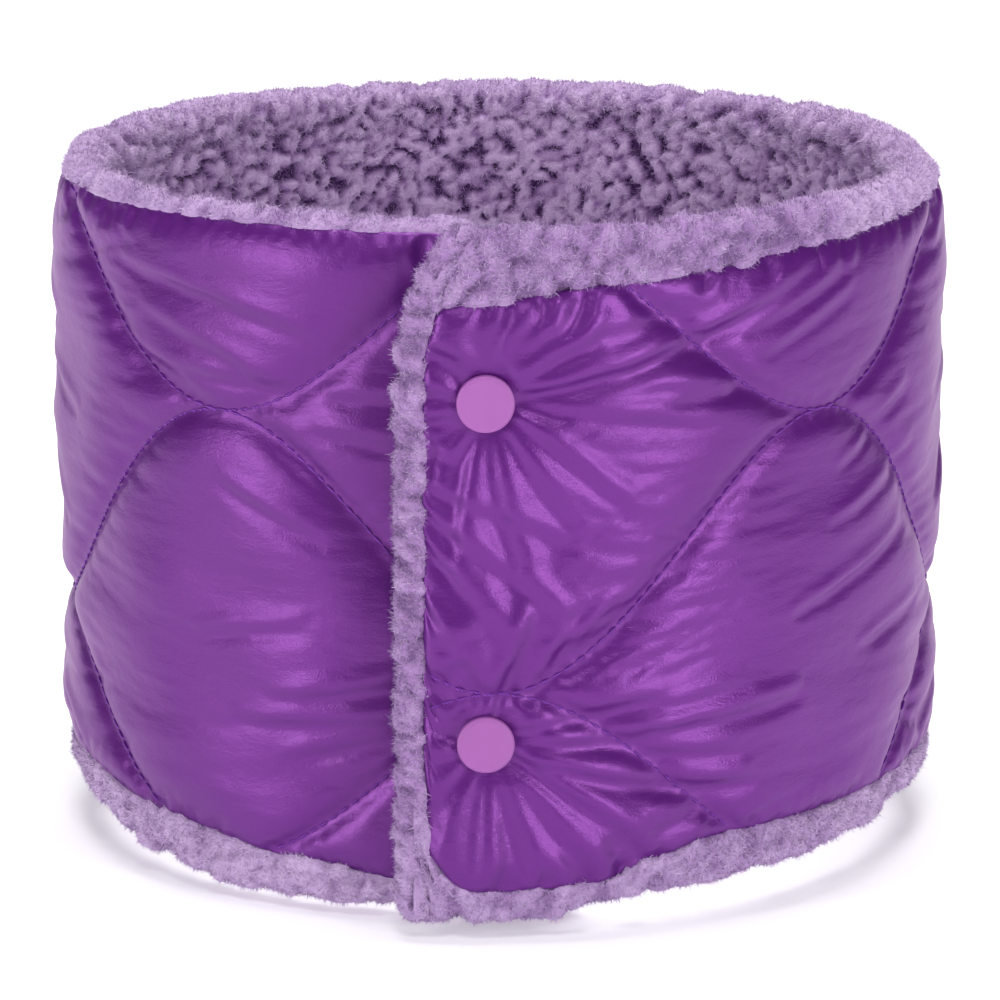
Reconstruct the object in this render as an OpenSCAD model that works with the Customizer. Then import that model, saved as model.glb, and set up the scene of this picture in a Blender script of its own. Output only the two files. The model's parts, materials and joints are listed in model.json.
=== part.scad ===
// Hand warmer muff: a quilted, fleece-lined band that closes into an open tube with two snaps.
// Millimetres, +Z up, front towards -Y. The origin is at the middle of the bottom.
// A plan angle is measured from the front (-Y) and grows towards +X.

/* [Band] */
// Height over the fleece of both rims at the back
band_height = 156; // [145:1:175]
// How far the flap's upper rim drops below the back's
rim_drop = 4; // [0:0.5:8]
// How far the right side's lower rim is lifted above the back's
side_lift = 6; // [0:0.5:9]
// Plan radius of the band's middle at the back
band_radius = 96.5; // [90:0.5:110]
// Thickness from the fleece's inner face to the shell's outer face
band_thick = 12; // [11:0.5:13]
// Gap between the flap and the underlap beneath it
lap_gap = 1.6; // [1.4:0.1:2.4]

/* [Layers] */
// Height of the shell's lower edge above the lower rim
shell_low = 8; // [6:0.5:10]
// Height of the shell's upper edge at the back and on the underlap
shell_top = 149; // [140:0.5:150]
// How far the flap's upper shell edge drops below the back's
flap_drop = 11; // [4:0.5:14]
// Thickness of the nylon shell with its backing
shell_thick = 0.8; // [0.5:0.1:1.2]
// How far the shell stands out from the middle at its sewn edges
shell_edge_out = 3.6; // [3:0.1:4.4]
// How far the fleece rolls out from the middle at the rims
rim_out = 4.8; // [4:0.1:5.4]
// Rounding of the fleece rims
rim_round = 3.5; // [2:0.5:4.5]

/* [Flap] */
// Plan angle of the flap's free edge
flap_edge = -8.7; // [-12:0.1:-7]
// Plan angle of the underlap's end, beneath the flap
underlap_edge = 16; // [12:0.5:22]
// Angle that the fleece takes up at each free edge
edge_roll = 4.1; // [2:0.1:4.5]

/* [Hinge lines] */
// Plan angle where the flap peels
peel_line = 29; // [26:0.5:34]
// Plan angle where the front folds from the right side
front_line = 60; // [50:1:70]
// Gap at each hinge line, in degrees
line_gap = 0.15; // [0.1:0.05:0.4]

/* [Snaps] */
// Diameter of a snap cap
cap_d = 12.5; // [10:0.5:15]
// Plan angle of the snaps
snap_angle = 2; // [0:0.5:4]
// Height of the lower snap
snap_low = 40; // [30:1:50]
// Height of the upper snap
snap_high = 115; // [100:1:125]
// Radius of the prong that joins the two halves of a snap
prong_r = 1.1; // [0.9:0.1:1.4]

/* [Quilting] */
// Distance along the band from one crest to the next trough
quilt_half_wave = 77.8; // [60:0.1:95]
// Height from one row of touching curves to the next
quilt_pitch = 56; // [50:1:60]
// Height of the lowest row of touching curves
quilt_low = 51; // [45:1:55]
// Plan angle on the flap where that row starts
quilt_angle = 3.1; // [0:0.1:6]
// Radius of the drawn thread
thread_r = 0.3; // [0.2:0.05:0.4]

/* [Hidden] */
$fn = 64;

half = band_thick / 2;
// The two front layers share a centre that lies to the left of the back's centre
lap_shift = (band_thick + lap_gap) / 2;
flap_radius = band_radius + lap_shift;
underlap_radius = band_radius - lap_shift;
plan_shift = lap_shift / 2;

// Radii of the two front layers' faces about their own centre
flap_out = flap_radius + half;
flap_in = flap_radius - half;
underlap_out = underlap_radius + half;
underlap_in = underlap_radius - half;

// A stretch of the band: [centre x, mid radius, first plan angle, last plan angle, shell top, path length at the first,
// upper rim, lower rim]
function path_of(radius, angle) = radius * angle * PI / 180;
right_start = path_of(flap_radius, 90);
back_end = right_start + path_of(band_radius, 180);
BACK = [0, band_radius, 90 + line_gap, 270 - line_gap, shell_top, right_start, band_height, 0];
RIGHT = [-lap_shift, flap_radius, front_line + line_gap, 90 - line_gap, shell_top - flap_drop * 0.2,
    path_of(flap_radius, front_line), band_height - rim_drop * 0.4, side_lift];
FRONT = [-lap_shift, flap_radius, peel_line + line_gap, front_line - line_gap, shell_top - flap_drop * 0.5,
    path_of(flap_radius, peel_line), band_height - rim_drop * 0.8, side_lift * 0.6];
FLAP = [-lap_shift, flap_radius, flap_edge + edge_roll, peel_line - line_gap, shell_top - flap_drop,
    path_of(flap_radius, flap_edge + edge_roll), band_height - rim_drop, 0];
UNDERLAP = [-lap_shift, underlap_radius, -90 + line_gap, underlap_edge - edge_roll, shell_top, back_end,
    band_height - 1, 0];

function centre(s) = s[0];
function radius(s) = s[1];
function first(s) = s[2];
function last(s) = s[3];
function top(s) = s[4];
function path(s) = s[5];
function rim_high(s) = s[6];
function rim_low(s) = s[7];
function sewn_low(s) = rim_low(s) + shell_low;

// Snap sizes along the snap's axis
cap_deep = 1.6;
cap_sink = 1.2;
socket_r = 5.4;
socket_deep = 3.2;
socket_hole_r = 2.5;
socket_hole_deep = 1.9;
flange_r = 5.2;
flange_deep = 1.5;
stud_r = 2.2;
stud_tip_r = 0.9;
stud_reach = 1.5;
patch_r = 9;
patch_thick = 0.8;
fit_gap = 0.1;

nylon = [0.46, 0.22, 0.56];
fleece = [0.66, 0.55, 0.75];
batting = [0.92, 0.92, 0.94];
thread = [0.3, 0.11, 0.4];
snap_plastic = [0.7, 0.4, 0.74];
interfacing = [0.85, 0.85, 0.85];

// Profiles: x is the distance from the band's middle, y is the height

// Points of a rounded corner
function corner(x, y, from) = [for (k = [0:5]) [x + rim_round * cos(from + 18 * k), y + rim_round * sin(from + 18 * k)]];

function rim_inner_low(s) = corner(rim_round - half, rim_low(s) + rim_round, 180);
function rim_outer_low(s) = corner(rim_out - rim_round, rim_low(s) + rim_round, 270);
function rim_outer_high(s) = corner(rim_out - rim_round, rim_high(s) - rim_round, 0);
function rim_inner_high(s) = corner(rim_round - half, rim_high(s) - rim_round, 90);

// How far the padded shell stands out at height z
function puff(s, z) = shell_edge_out
    + (half - shell_edge_out) * sqrt(max(0, sin(180 * (z - sewn_low(s)) / (top(s) - sewn_low(s)))));

// The shell's face pushed in by depth, from its lower edge to its upper edge
shell_steps = 20;
function shell_face(s, depth) = [for (k = [0:shell_steps])
    let (z = sewn_low(s) + (top(s) - sewn_low(s)) * k / shell_steps) [puff(s, z) - depth, z]];

function reversed(list) = [for (k = [len(list) - 1:-1:0]) list[k]];

module shell_profile(s) polygon(concat(shell_face(s, 0), reversed(shell_face(s, shell_thick))));

module wadding_profile(s) polygon(concat([[0, sewn_low(s)]], shell_face(s, shell_thick), [[0, top(s)]]));

// The fleece wall with a rim rolled out over each edge of the shell
module lining_profile(s) polygon(concat(rim_inner_low(s), rim_outer_low(s),
    [[rim_out, sewn_low(s)], [0, sewn_low(s)], [0, top(s)], [rim_out, top(s)]],
    rim_outer_high(s), rim_inner_high(s)));

// The fleece that rolls round a free edge, between the two rims. It reaches a little way into the wall and rims.
roll_lap = 1;
module edge_profile(s) translate([-roll_lap, sewn_low(s) - roll_lap])
    square([rim_out - rim_round / 4 + roll_lap, top(s) - sewn_low(s) + 2 * roll_lap]);

// Sweeps a profile along a stretch of the band, between two plan angles
module swept(s, from, to) translate([centre(s), plan_shift, 0])
    rotate([0, 0, from - 90])
        rotate_extrude(angle = to - from)
            translate([radius(s), 0])
                children();

module along(s) swept(s, first(s), last(s)) children();

// Snap axes: local +Z points out along the snap, and 0 is the front layers' centre
module on_snap(height) translate([-lap_shift, plan_shift, height])
    rotate([0, 0, snap_angle - 90])
        rotate([0, 90, 0])
            children();

module disc(r, from, to) translate([0, 0, from]) cylinder(r = r, h = to - from);

module flap_cuts() for (height = [snap_low, snap_high]) on_snap(height) {
    disc(cap_d / 2 + fit_gap, flap_out - cap_sink - cap_deep, flap_out + half);
    disc(socket_r + fit_gap, flap_in - half, flap_in + socket_deep);
    disc(patch_r + fit_gap, flap_radius - patch_thick / 2, flap_radius + patch_thick / 2);
    disc(prong_r + fit_gap, flap_in, flap_out);
}

module underlap_cuts() for (height = [snap_low, snap_high]) on_snap(height) {
    disc(flange_r + fit_gap, underlap_out - fit_gap - flange_deep, underlap_out + half);
    disc(cap_d / 2 + fit_gap, underlap_in - half, underlap_in + cap_sink + cap_deep);
    disc(patch_r + fit_gap, underlap_radius - patch_thick / 2, underlap_radius + patch_thick / 2);
    disc(prong_r + fit_gap, underlap_in, underlap_out);
}

// Lining: thick fleece, the inner wall and both rims. At a free edge it also rolls round the edge,
// set back a little from the ends of the wall.

edge_step = 0.3;

module lining_back() color(fleece) along(BACK) lining_profile(BACK);

module lining_right() color(fleece) along(RIGHT) lining_profile(RIGHT);

module lining_front() color(fleece) along(FRONT) lining_profile(FRONT);

module lining_flap() color(fleece) difference() {
    union() {
        swept(FLAP, flap_edge, last(FLAP)) lining_profile(FLAP);
        swept(FLAP, flap_edge + edge_step, first(FLAP)) edge_profile(FLAP);
    }
    flap_cuts();
}

module lining_underlap() color(fleece) difference() {
    union() {
        swept(UNDERLAP, first(UNDERLAP), underlap_edge) lining_profile(UNDERLAP);
        swept(UNDERLAP, last(UNDERLAP), underlap_edge - edge_step) edge_profile(UNDERLAP);
    }
    underlap_cuts();
}

// Wadding: the soft fill between the lining and the shell

module wadding_back() color(batting) along(BACK) wadding_profile(BACK);

module wadding_right() color(batting) along(RIGHT) wadding_profile(RIGHT);

module wadding_front() color(batting) along(FRONT) wadding_profile(FRONT);

module wadding_flap() color(batting) difference() {
    along(FLAP) wadding_profile(FLAP);
    flap_cuts();
}

module wadding_underlap() color(batting) difference() {
    along(UNDERLAP) wadding_profile(UNDERLAP);
    underlap_cuts();
}

// Shell: glossy nylon

module shell_back() color(nylon) along(BACK) shell_profile(BACK);

module shell_right() color(nylon) along(RIGHT) shell_profile(RIGHT);

module shell_front() color(nylon) along(FRONT) shell_profile(FRONT);

module shell_flap() color(nylon) difference() {
    along(FLAP) shell_profile(FLAP);
    flap_cuts();
}

module shell_underlap() color(nylon) difference() {
    along(UNDERLAP) shell_profile(UNDERLAP);
    underlap_cuts();
}

// Quilting: rows of waves sewn through the shell. Each row's crests touch the next row's troughs.

quilt_start = path_of(flap_radius, quilt_angle);
quilt_rise = quilt_pitch / 2;
outer_rise = 22.5;
thread_step = 7;
thread_end = 2.5;
thread_stand = 0.1;

function wave_sign(row) = row % 2 == 0 ? 1 : -1;
function wave_rise(row) = row == 1 ? quilt_rise : outer_rise;
function wave_mid(row) = quilt_low + [-outer_rise, quilt_rise, quilt_pitch + outer_rise][row];
function wave_angle(p) = 180 * (p - quilt_start) / quilt_half_wave;
function wave_z(row, p) = wave_mid(row) + wave_sign(row) * wave_rise(row) * cos(wave_angle(p));
function wave_slope(row, p) = atan(-wave_sign(row) * wave_rise(row) * sin(wave_angle(p)) * PI / quilt_half_wave);
function angle_at(s, p) = first(s) + (p - path(s)) / radius(s) * 180 / PI;

// One four-sided ring of the thread at path length p
function thread_ring(s, row, p) = let (
        z = wave_z(row, p),
        a = angle_at(s, p),
        tilt = wave_slope(row, p),
        r = radius(s) + puff(s, z) + thread_stand + thread_r,
        out = [sin(a), -cos(a), 0],
        side = [-sin(tilt) * cos(a), -sin(tilt) * sin(a), cos(tilt)],
        mid = [centre(s), plan_shift, z] + r * out)
    [mid + thread_r * out, mid + thread_r * side, mid - thread_r * out, mid - thread_r * side];

module thread_run(s, row, from, to) {
    rings = max(2, ceil((to - from) / thread_step) + 1);
    points = [for (k = [0:rings - 1]) each thread_ring(s, row, from + (to - from) * k / (rings - 1))];
    sides = [for (k = [0:rings - 2], j = [0:3])
        [4 * k + j, 4 * k + (j + 1) % 4, 4 * k + 4 + (j + 1) % 4, 4 * k + 4 + j]];
    end = 4 * (rings - 1);
    polyhedron(points, concat([[3, 2, 1, 0]], sides, [[end, end + 1, end + 2, end + 3]]));
}

// The stretches of a row between the shell's lower and upper edges, as path lengths about the row's turns
wave_turns = 10;
module quilting(s) {
    low = path(s) + thread_end;
    high = path(s) + path_of(radius(s), last(s) - first(s)) - thread_end;
    low_reach = acos((sewn_low(s) + thread_end - wave_mid(0)) / outer_rise) / 180 * quilt_half_wave;
    high_reach = acos((wave_mid(2) - top(s) + thread_end) / outer_rise) / 180 * quilt_half_wave;
    thread_run(s, 1, low, high);
    for (turn = [0:wave_turns - 1]) {
        row = turn % 2 == 0 ? 0 : 2;
        reach = turn % 2 == 0 ? low_reach : high_reach;
        mid = quilt_start + turn * quilt_half_wave;
        from = max(low, mid - reach);
        to = min(high, mid + reach);
        if (to - from > thread_end) thread_run(s, row, from, to);
    }
}

module quilting_back() color(thread) quilting(BACK);

module quilting_right() color(thread) quilting(RIGHT);

module quilting_front() color(thread) quilting(FRONT);

module quilting_flap() color(thread) quilting(FLAP);

// The quilting was sewn before the studs were set, so they cut through it
module quilting_underlap() color(thread) difference() {
    quilting(UNDERLAP);
    underlap_cuts();
}

// Patches: interfacing discs that stop the snaps from pulling through

module patches(mid) color(interfacing) for (height = [snap_low, snap_high]) on_snap(height) difference() {
    disc(patch_r, mid - patch_thick / 2, mid + patch_thick / 2);
    disc(prong_r + fit_gap, mid - patch_thick, mid + patch_thick);
}

module patches_flap() patches(flap_radius);

module patches_underlap() patches(underlap_radius);

// Snaps

// A cap with a softened rim. Its prong runs down the local axis, by the length given.
module cap(prong) {
    soft = 0.5;
    r = cap_d / 2;
    rotate_extrude() polygon([
        [0, 0], [r - soft / 2, 0], [r, soft / 2], [r, cap_deep - soft * 1.4],
        [r - soft * 0.3, cap_deep - soft * 0.6], [r - soft, cap_deep - soft * 0.2],
        [r - soft * 2, cap_deep], [0, cap_deep]
    ]);
    disc(prong_r, -prong, 0.2);
}

cap_under = flap_out - cap_sink - cap_deep;
flap_prong = cap_under - (flap_in + socket_hole_deep + 0.4);
module snap_cap(height) color(snap_plastic) on_snap(height) translate([0, 0, cap_under]) cap(flap_prong);

module snap_socket(height) color(snap_plastic) on_snap(height) difference() {
    disc(socket_r, flap_in, flap_in + socket_deep);
    disc(socket_hole_r, flap_in - 1, flap_in + socket_hole_deep);
    disc(prong_r + fit_gap, flap_in, flap_in + socket_deep + 1);
}

stud_base = underlap_out - fit_gap - flange_deep;
module snap_stud(height) color(snap_plastic) on_snap(height) difference() {
    union() {
        disc(flange_r, stud_base, stud_base + flange_deep);
        disc(stud_r, stud_base, flap_in);
        translate([0, 0, flap_in]) cylinder(r1 = stud_r, r2 = stud_tip_r, h = stud_reach);
    }
    disc(prong_r + fit_gap, stud_base - 1, stud_base + flange_deep);
}

back_cap_top = underlap_in + cap_sink + cap_deep;
underlap_prong = stud_base + flange_deep * 0.8 - back_cap_top;
module snap_back_cap(height) color(snap_plastic) on_snap(height)
    translate([0, 0, back_cap_top]) mirror([0, 0, 1]) cap(underlap_prong);

lining_back();
lining_right();
lining_front();
lining_flap();
lining_underlap();
wadding_back();
wadding_right();
wadding_front();
wadding_flap();
wadding_underlap();
shell_back();
shell_right();
shell_front();
shell_flap();
shell_underlap();
quilting_back();
quilting_right();
quilting_front();
quilting_flap();
quilting_underlap();
patches_flap();
patches_underlap();
snap_cap(snap_high);  // snap_cap_upper
snap_cap(snap_low);  // snap_cap_lower
snap_socket(snap_high);  // snap_socket_upper
snap_socket(snap_low);  // snap_socket_lower
snap_stud(snap_high);  // snap_stud_upper
snap_stud(snap_low);  // snap_stud_lower
snap_back_cap(snap_high);  // snap_back_cap_upper
snap_back_cap(snap_low);  // snap_back_cap_lower
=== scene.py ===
"""A quilted hand warmer muff: a wrapped band with a fleece lining, a free flap and two snaps."""

import json
import math

import bpy
import numpy as np
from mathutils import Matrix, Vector


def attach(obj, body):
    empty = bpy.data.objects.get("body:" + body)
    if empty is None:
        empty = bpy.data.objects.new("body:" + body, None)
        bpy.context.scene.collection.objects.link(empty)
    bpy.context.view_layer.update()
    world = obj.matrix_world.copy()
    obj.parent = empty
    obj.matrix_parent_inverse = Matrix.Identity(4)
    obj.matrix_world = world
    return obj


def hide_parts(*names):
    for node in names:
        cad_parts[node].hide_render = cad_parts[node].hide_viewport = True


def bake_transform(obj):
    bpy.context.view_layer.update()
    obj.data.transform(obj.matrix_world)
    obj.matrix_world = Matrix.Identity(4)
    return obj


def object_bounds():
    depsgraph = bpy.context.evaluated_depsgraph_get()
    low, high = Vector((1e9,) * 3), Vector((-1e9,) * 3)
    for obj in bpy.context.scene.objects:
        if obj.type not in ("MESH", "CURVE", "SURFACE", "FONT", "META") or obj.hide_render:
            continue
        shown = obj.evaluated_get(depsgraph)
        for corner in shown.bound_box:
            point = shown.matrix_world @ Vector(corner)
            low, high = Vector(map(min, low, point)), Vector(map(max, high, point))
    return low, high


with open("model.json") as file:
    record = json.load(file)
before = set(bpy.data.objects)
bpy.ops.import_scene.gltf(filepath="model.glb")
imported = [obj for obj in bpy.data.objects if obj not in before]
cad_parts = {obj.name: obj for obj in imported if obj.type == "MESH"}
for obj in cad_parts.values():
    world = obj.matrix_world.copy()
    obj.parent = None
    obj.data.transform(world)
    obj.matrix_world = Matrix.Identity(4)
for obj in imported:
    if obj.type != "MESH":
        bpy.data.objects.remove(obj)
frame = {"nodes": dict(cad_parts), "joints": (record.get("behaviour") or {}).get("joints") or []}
CAD_LOW, CAD_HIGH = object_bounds()

# Sizes are in millimetres up to the point where a mesh is made.
MM = 0.001
HALF = 6.0
LAP_GAP = 1.6
HEIGHT = 158.0
SNAP_ANGLE = 2.0
SNAP_HEIGHTS = (40.0, 115.0)
SNAP_SEAT_R = 6.0
LEAN_MOST = 11.0
LEAN_FROM = 116.0
LEAN_RISE = 36.0
LEAN_START = -16.0
LEAN_REACH = 40.0


def joint_place(name):
    """The named joint's place in the plan, in millimetres."""
    found = [j for j in frame["joints"] if j["name"] == name][0]
    return np.array(found["pos_m"][:2]) / MM


def front_circle(a, b, middle_y):
    """The x of the centre and the radius of the circle through two points, centred on middle_y."""
    ay = a[1] - middle_y
    by = b[1] - middle_y
    x = (a[0] ** 2 - b[0] ** 2 + ay**2 - by**2) / (2 * (a[0] - b[0]))
    return x, math.hypot(a[0] - x, ay)


BACK_HINGE = joint_place("band_open")
MIDDLE_Y = BACK_HINGE[1]
FRONT_X, FRONT_OUT = front_circle(joint_place("front_fold"), joint_place("flap_peel"), MIDDLE_Y)
FLAP_R = FRONT_OUT - HALF
BACK_R = BACK_HINGE[0] - HALF
UNDER_R = FLAP_R - 2 * HALF - LAP_GAP
SIDE_RIGHT = FLAP_R * math.pi / 2
SIDE_LEFT = SIDE_RIGHT + BACK_R * math.pi


def flap_path(angle):
    """Path length of a plan angle on the flap's arc: 0 is the front, 90 the right side."""
    return FLAP_R * math.radians(angle)


def under_path(angle):
    """Path length of a plan angle on the underlap's arc: -90 is the left side."""
    return SIDE_LEFT + UNDER_R * (math.radians(angle) + math.pi / 2)


def corner_lean(p, z):
    """How far the flap's upper corner is drawn back along the band."""
    up = np.clip((z - LEAN_FROM) / LEAN_RISE, 0, 1.1)
    near = np.clip(1 - (p - LEAN_START) / LEAN_REACH, 0, 1)
    return LEAN_MOST * up**2.2 * near * near * (3 - 2 * near)


def place(p, h, z):
    """Points at path length p, h outwards of the middle surface and height z."""
    p, h, z = np.broadcast_arrays(p, h, z)
    p = p + corner_lean(p, z)
    front = p < SIDE_RIGHT
    under = p > SIDE_LEFT
    turn = np.where(front, p / FLAP_R, 0.5 * math.pi + (p - SIDE_RIGHT) / BACK_R)
    turn = np.where(under, 1.5 * math.pi + (p - SIDE_LEFT) / UNDER_R, turn)
    radius = np.where(front, FLAP_R, np.where(under, UNDER_R, BACK_R)) + h
    x = np.where(front | under, FRONT_X, 0.0)
    return np.stack([x + radius * np.sin(turn), MIDDLE_Y - radius * np.cos(turn), z], -1)


def place_spots(spots):
    """The points of an array of (path, outward, height) spots."""
    return place(spots[..., 0], spots[..., 1], spots[..., 2])


FLAP_FREE = flap_path(-8.7)
FLAP_SEW = flap_path(-5.2)
UNDER_SEW = under_path(11.9)
UNDER_FREE = under_path(16.0)
CUTS = (
    FLAP_FREE - 20, flap_path(44.5), flap_path(75.0), SIDE_RIGHT + BACK_R * math.pi / 2,
    UNDER_FREE + 20,
)
BLENDS = (
    ("flap", "front", flap_path(14), flap_path(43)),
    ("front", "right", flap_path(47), flap_path(73)),
    ("right", "back", flap_path(77), SIDE_RIGHT + BACK_R * math.radians(13)),
    ("back", "underlap", SIDE_LEFT - BACK_R * math.radians(20), under_path(-60)),
)
BAND_NAMES = ("flap", "front", "right", "underlap")


# ---- small numeric helpers


def ease(p, knots):
    """Eased values between (path length, value) knots."""
    x = np.array([k[0] for k in knots], float)
    y = np.array([k[1] for k in knots], float)
    i = np.clip(np.searchsorted(x, p) - 1, 0, len(x) - 2)
    t = np.clip((p - x[i]) / (x[i + 1] - x[i]), 0, 1)
    t = t * t * (3 - 2 * t)
    return y[i] + (y[i + 1] - y[i]) * t


def blur(a, width, axis):
    """a smoothed along one axis by a bell of that width in cells."""
    reach = max(int(3 * width), 1)
    bell = np.exp(-0.5 * (np.arange(-reach, reach + 1) / width) ** 2)
    bell /= bell.sum()
    pad = [(0, 0)] * a.ndim
    pad[axis] = (reach, reach)
    wide = np.pad(a, pad, mode="edge")
    out = np.zeros_like(a)
    count = a.shape[axis]
    for i, weight in enumerate(bell):
        out += weight * np.take(wide, np.arange(i, i + count), axis=axis)
    return out


def soft_noise(rng, shape, along, up):
    """Smooth noise of unit spread, with its size along the band and up it."""
    out = blur(blur(rng.normal(size=shape), along / CELL, 0), up / CELL, 1)
    return out / out.std()


def at_cells(a, i, j):
    """a read between its cells."""
    n, m = a.shape[:2]
    i = np.clip(i, 0, n - 1.001)
    j = np.clip(j, 0, m - 1.001)
    i0 = i.astype(int)
    j0 = j.astype(int)
    f = i - i0
    g = j - j0
    if a.ndim == 3:
        f = f[..., None]
        g = g[..., None]
    low = a[i0, j0] * (1 - f) + a[i0 + 1, j0] * f
    high = a[i0, j0 + 1] * (1 - f) + a[i0 + 1, j0 + 1] * f
    return low * (1 - g) + high * g


# ---- the quilted shell

CELL = 1.3
VALLEY = 3.0
SEWN_EDGE = 3.2
SNAP_SEAT = 2.9
LOFT = 3.0
LOFT_ABOVE = 2.4
LOFT_BELOW = 2.0
SHELL_TALL = 141.0
TOP_ROUND = 3.5
LOW_ROUND = 12.0
LOW_ROUND_TALL = 20.0
FAR = 99.0
WAVE_HALF = 77.8
ROW_RISE = (22.5, 28.0, 22.5)
ROW_MIDDLE = (28.5, 79.0, 129.5)
WAVE_START = flap_path(3.1)
HOLE_STEP = 3.0
THREAD_R = 0.33
THREAD_RISE = 0.22


def quilt_row(row, p):
    """Height of a stitched row at path length p."""
    sign = 1 if row % 2 == 0 else -1
    return ROW_MIDDLE[row] + sign * ROW_RISE[row] * np.cos(np.pi * (p - WAVE_START) / WAVE_HALF)


def at_one(height, p):
    """A height function's value at a single path length."""
    return float(height(np.array([p]))[0])


SHELL_TOP = (
    (FLAP_SEW, 136.0), (flap_path(26), 141.0), (flap_path(48), 144.6), (flap_path(85), 147.0),
    (SIDE_RIGHT + 60, 149.0), (under_path(-3), 149.0), (under_path(6), 145.0), (UNDER_SEW, 145.0),
)


def shell_top(p):
    """Height of the shell's upper edge."""
    top = ease(p, SHELL_TOP)
    t = np.clip((p - FLAP_SEW) / TOP_ROUND, 0, 1)
    return top - TOP_ROUND * (1 - np.sqrt(1 - (1 - t) ** 2))


SHELL_LOW = (
    (FLAP_SEW, 6.0), (flap_path(12), 7.0), (flap_path(32), 15.2), (flap_path(60), 16.0),
    (SIDE_RIGHT, 15.5), (SIDE_RIGHT + 150, 9.0), (SIDE_LEFT - 20, 13.5), (under_path(-70), 15.5),
    (under_path(-47), 11.8), (under_path(-22), 7.4), (under_path(-9), 4.8), (UNDER_SEW, 4.8),
)


def shell_low(p):
    """Height of the shell's lower edge."""
    low = ease(p, SHELL_LOW)
    t = np.clip((p - FLAP_SEW) / LOW_ROUND, 0, 1)
    return low + LOW_ROUND_TALL * (1 - np.sqrt(1 - (1 - t) ** 2))


def between_edges(p, share):
    """Heights at shares of the way up from the shell's lower edge to its upper one."""
    low = shell_low(p)[:, None]
    return low + (shell_top(p)[:, None] - low) * share


def flat_grid():
    """The shell's flat cloth: path lengths, and (path, 0, height) points."""
    n = int(round((UNDER_SEW - FLAP_SEW) / CELL)) + 1
    m = int(round(SHELL_TALL / CELL)) + 1
    p = np.linspace(FLAP_SEW, UNDER_SEW, n)
    z = between_edges(p, np.linspace(0, 1, m))
    return p, np.stack([np.broadcast_to(p[:, None], (n, m)), np.zeros((n, m)), z], -1)


def reach(flat, p):
    """Distances of each grid point from the stitches, the sewn edges, the ends and the snaps."""
    n, m, _ = flat.shape
    stitch = np.full((n, m), FAR)
    q = np.arange(FLAP_SEW, UNDER_SEW, 1.0)
    for row in range(3):
        z = quilt_row(row, q)
        for i in range(n):
            near = np.abs(q - p[i]) < 16
            gap = np.hypot(q[near][None, :] - p[i], z[near][None, :] - flat[i, :, 2:3])
            stitch[i] = np.minimum(stitch[i], gap.min(1))
    edge = np.minimum(flat[..., 2] - flat[:, :1, 2], flat[:, -1:, 2] - flat[..., 2])
    side = np.minimum(flat[..., 0] - FLAP_SEW, UNDER_SEW - flat[..., 0])
    snap = np.full((n, m), FAR)
    for z in SNAP_HEIGHTS:
        gap = np.hypot(flat[..., 0] - flap_path(SNAP_ANGLE), flat[..., 2] - z)
        snap = np.minimum(snap, gap)
    return stitch, edge, side, snap


def loft_shape(near, flat):
    """How far out the wadding pushes the cloth."""
    stitch, edge, side, snap = near

    def rise(distance, length):
        """Up from 0 to 1 over about that length."""
        return 1 - np.exp(-np.maximum(distance, 0) / length)

    full = np.minimum(rise(stitch, 4.5), rise(snap - SNAP_SEAT_R, 9.0) + 0.05)
    hems = np.minimum(rise(edge, 4.0), rise(side, 5.0)) + 0.1
    full = np.minimum(full, hems)
    under = np.clip((flat[..., 0] - under_path(-14)) / 12, 0, 1)
    return VALLEY + LOFT * full * (1 - 0.45 * under)


def fold_field(flat, near, rng):
    """The way folds run, as cosine and sine: out from snaps, across seams, down from hems."""
    stitch, edge = near[:2]
    shape = stitch.shape
    angle = 0.16 * soft_noise(rng, shape, 28, 16)
    pull = np.stack([np.cos(2 * angle), np.sin(2 * angle)], -1)
    across = np.arctan2(np.gradient(stitch, axis=1), np.gradient(stitch, axis=0) + 1e-9)
    weight = 1.6 * np.exp(-stitch / 3.5)
    pull = pull + weight[..., None] * np.stack([np.cos(2 * across), np.sin(2 * across)], -1)
    for path in (flap_path(SNAP_ANGLE), under_path(SNAP_ANGLE)):
        for z in SNAP_HEIGHTS:
            dp = flat[..., 0] - path
            dz = flat[..., 2] - z
            out = np.arctan2(dz, dp)
            weight = 6 * np.exp(-np.hypot(dp, dz) / 22)
            pull = pull + weight[..., None] * np.stack([np.cos(2 * out), np.sin(2 * out)], -1)
    pull = pull + (2.2 * np.exp(-edge / 7))[..., None] * np.array([-0.5, 0.87])
    angle = 0.5 * np.arctan2(pull[..., 1], pull[..., 0])
    return np.cos(angle), np.sin(angle)


def streaks(noise, cosine, sine, length):
    """noise drawn out along the fold directions, of unit spread."""
    n, m = noise.shape
    out = np.zeros((n, m))
    for sign in (1, -1):
        i, j = np.meshgrid(np.arange(n) * 1.0, np.arange(m) * 1.0, indexing="ij")
        last_c = cosine * sign
        last_s = sine * sign
        for k in range(int(length / CELL)):
            weight = np.exp(-0.5 * (2 * k * CELL / length) ** 2)
            out += weight * at_cells(noise, i, j)
            c = at_cells(cosine, i, j)
            s = at_cells(sine, i, j)
            flip = np.where(c * last_c + s * last_s < 0, -1.0, 1.0)
            last_c = c * flip
            last_s = s * flip
            i = i + last_c
            j = j + last_s
    return out / out.std()


def stitch_holes():
    """The needle holes of each quilted row: their path lengths and their heights."""
    q = np.arange(FLAP_SEW + 1, UNDER_SEW - 1, 0.05)
    rows = []
    for row in range(3):
        z = quilt_row(row, q)
        run = np.concatenate([[0], np.cumsum(np.hypot(np.diff(q), np.diff(z)))])
        at = np.interp(np.arange(0, run[-1], HOLE_STEP), run, q)
        rows.append((at, quilt_row(row, at)))
    return rows


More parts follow.
